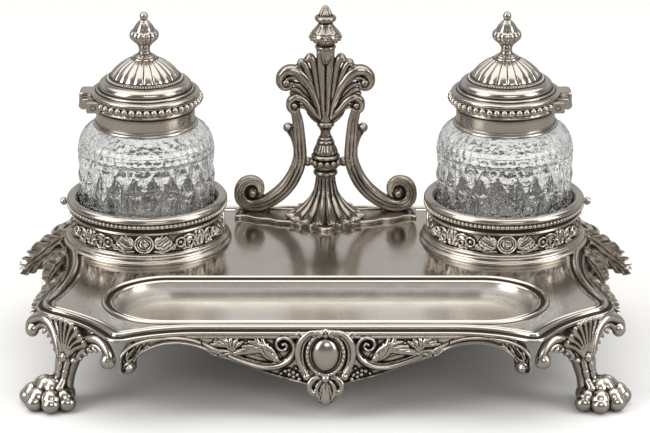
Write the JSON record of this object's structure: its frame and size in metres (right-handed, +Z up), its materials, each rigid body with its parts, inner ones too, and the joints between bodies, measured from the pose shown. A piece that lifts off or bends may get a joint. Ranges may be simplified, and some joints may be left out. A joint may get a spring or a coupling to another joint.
{
  "type": "desk inkstand",
  "caption": "Footed desk inkstand with a pen tray, cut-glass ink bottles with hinged domed lids lifted from ring holders, and a scrolled carrying handle.",
  "frame": {"origin": "centre of the base on the desk top", "axes": "+X along the length to the right as seen from the pen tray side, +Y to the back, +Z up"},
  "size_m": [0.2988, 0.196, 0.1614],
  "materials": {
    "silver_plate": "tarnished silver plate, bright on the high spots and near black in the recesses",
    "cut_glass": "clear cut glass with a faint smoky tint",
    "steel_pin": "dulled steel",
    "brass_nut": "dark, dull, unplated brass"
  },
  "bodies": {
    "stand": {"base_plate": "silver_plate", "front_apron": "silver_plate", "rear_apron": "silver_plate", "left_apron": "silver_plate", "right_apron": "silver_plate", "front_cartouche": "silver_plate", "rear_cartouche": "silver_plate", "left_leaf": "silver_plate", "right_leaf": "silver_plate", "foot_front_left": "silver_plate", "foot_front_right": "silver_plate", "foot_rear_left": "silver_plate", "foot_rear_right": "silver_plate", "holder_foot_left": "silver_plate", "holder_band_left": "silver_plate", "holder_bead_wire_left": "silver_plate", "holder_rim_left": "silver_plate", "holder_foot_right": "silver_plate", "holder_band_right": "silver_plate", "holder_bead_wire_right": "silver_plate", "holder_rim_right": "silver_plate", "handle_base": "silver_plate", "handle_nuts": "brass_nut", "handle_arm_left": "silver_plate", "handle_arm_right": "silver_plate", "handle_leaf": "silver_plate", "handle_baluster": "silver_plate", "handle_palmette": "silver_plate", "handle_finial": "silver_plate"},
    "bottle_left": {"bottle_left": "cut_glass", "collar_left": "silver_plate", "hinge_pin_left": "steel_pin"},
    "lid_left": {"lid_left": "silver_plate", "lid_finial_left": "silver_plate", "finial_nut_left": "brass_nut"},
    "bottle_right": {"bottle_right": "cut_glass", "collar_right": "silver_plate", "hinge_pin_right": "steel_pin"},
    "lid_right": {"lid_right": "silver_plate", "lid_finial_right": "silver_plate", "finial_nut_right": "brass_nut"}
  },
  "joints": [
    {"name": "bottle_lift_left", "type": "slide", "parent": "stand", "child": "bottle_left", "axis": [0, 0, 1], "range_m": [0, 0.04]},
    {"name": "lid_hinge_left", "type": "hinge", "parent": "bottle_left", "child": "lid_left", "pos_m": [-0.119, 0.0405, 0.1164], "axis": [0, -1, 0], "range_deg": [0, 105]},
    {"name": "bottle_lift_right", "type": "slide", "parent": "stand", "child": "bottle_right", "axis": [0, 0, 1], "range_m": [0, 0.04]},
    {"name": "lid_hinge_right", "type": "hinge", "parent": "bottle_right", "child": "lid_right", "pos_m": [0.119, 0.0405, 0.1164], "axis": [0, 1, 0], "range_deg": [0, 105]}
  ]
}
